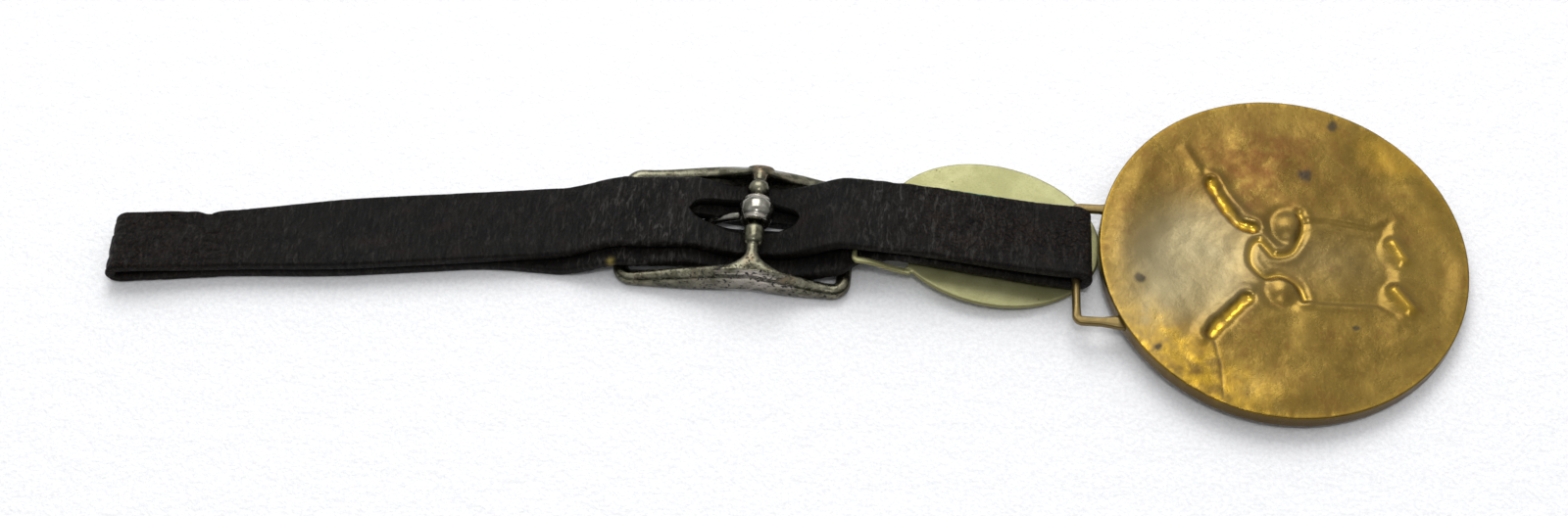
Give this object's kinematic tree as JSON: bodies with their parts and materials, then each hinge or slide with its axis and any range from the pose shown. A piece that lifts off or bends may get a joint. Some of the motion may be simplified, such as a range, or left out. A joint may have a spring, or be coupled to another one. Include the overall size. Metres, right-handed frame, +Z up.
{
  "type": "watch fob",
  "caption": "Doubled leather strap through a centre-bar buckle, with a round pressed medallion hinged in its right fold and a flat oval charm hung on its front layer.",
  "frame": {"origin": "centre of the bounding box in plan, at the height of the surface that the fob lies on", "axes": "+X along the strap from the watch end to the medallion, +Z up, away from the fob's front (it lies face down)"},
  "size_m": [0.1611, 0.044, 0.0066],
  "materials": {
    "leather": "worn, finely wrinkled",
    "buckle_nickel": "aged nickel plate, pitted",
    "tongue_nickel": "worn bright nickel plate",
    "medallion_brass": "aged satin brass with brown tarnish",
    "charm_nickel_silver": "satin, fine grain, pale green-yellow"
  },
  "bodies": {
    "buckle": {"buckle_frame": "buckle_nickel", "strap_front_mid": "leather", "strap_back_mid": "leather"},
    "tongue": {"buckle_tongue": "tongue_nickel"},
    "watch_end": {"strap_watch_end": "leather"},
    "fob_end": {"strap_fob_end": "leather"},
    "charm": {"oval_charm": "charm_nickel_silver"},
    "medal": {"medallion": "medallion_brass"}
  },
  "joints": [
    {"name": "tongue_pivot", "type": "hinge", "parent": "buckle", "child": "tongue", "pos_m": [-0.00412, -0.00019, 0.0045], "axis": [0, -1, 0], "range_deg": [0, 75]},
    {"name": "watch_end_flex", "type": "hinge", "parent": "buckle", "child": "watch_end", "pos_m": [-0.01972, -0.00119, 0.0009], "axis": [0, -1, 0], "range_deg": [-10, 45]},
    {"name": "fob_end_flex", "type": "hinge", "parent": "buckle", "child": "fob_end", "pos_m": [0.00678, 0.00001, 0.0009], "axis": [0, 1, 0], "range_deg": [-10, 45]},
    {"name": "charm_swing", "type": "hinge", "parent": "fob_end", "child": "charm", "pos_m": [0.00793, -0.00007, 0.0041], "axis": [0, 1, 0], "range_deg": [0, 25]},
    {"name": "medallion_swing", "type": "hinge", "parent": "fob_end", "child": "medal", "pos_m": [0.03398, -0.00349, 0.00344], "axis": [0.0523, -0.9986, 0], "range_deg": [-5, 90]}
  ]
}
